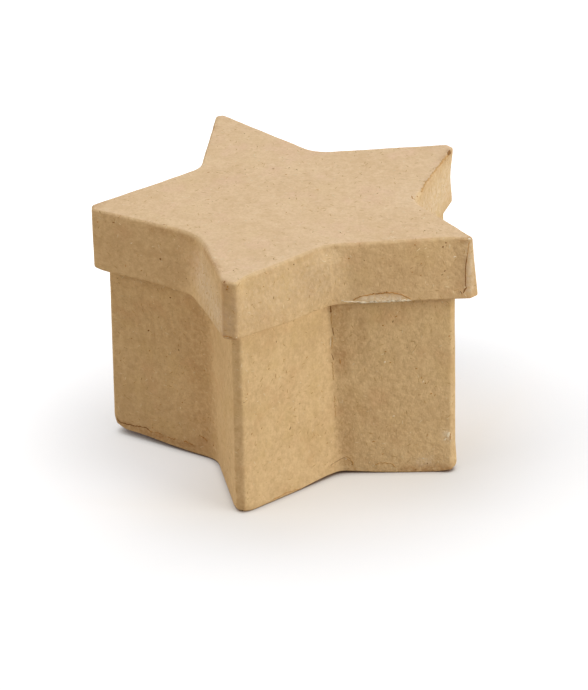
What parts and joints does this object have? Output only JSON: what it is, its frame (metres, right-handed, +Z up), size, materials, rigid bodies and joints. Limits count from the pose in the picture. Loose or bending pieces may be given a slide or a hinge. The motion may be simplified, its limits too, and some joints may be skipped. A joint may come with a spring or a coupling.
{
  "type": "star-shaped kraft paper box",
  "caption": "Star-shaped box of kraft-paper-covered board with a telescoping lift-off lid, standing on its flat foot.",
  "frame": {"origin": "middle of the star, on the flat face the box stands on", "axes": "+Z up along the way the lid lifts, -Y towards the front tip of the star, +X to the right"},
  "size_m": [0.0879, 0.0854, 0.0587],
  "materials": {
    "kraft_board": "matt pasted kraft paper"
  },
  "bodies": {
    "box": {"box_wall": "kraft_board", "box_floor": "kraft_board"},
    "lid": {"lid_rim": "kraft_board", "lid_top": "kraft_board"}
  },
  "joints": [
    {"name": "lid_lift", "type": "slide", "parent": "box", "child": "lid", "axis": [0, 0, 1], "range_m": [0, 0.022]}
  ]
}
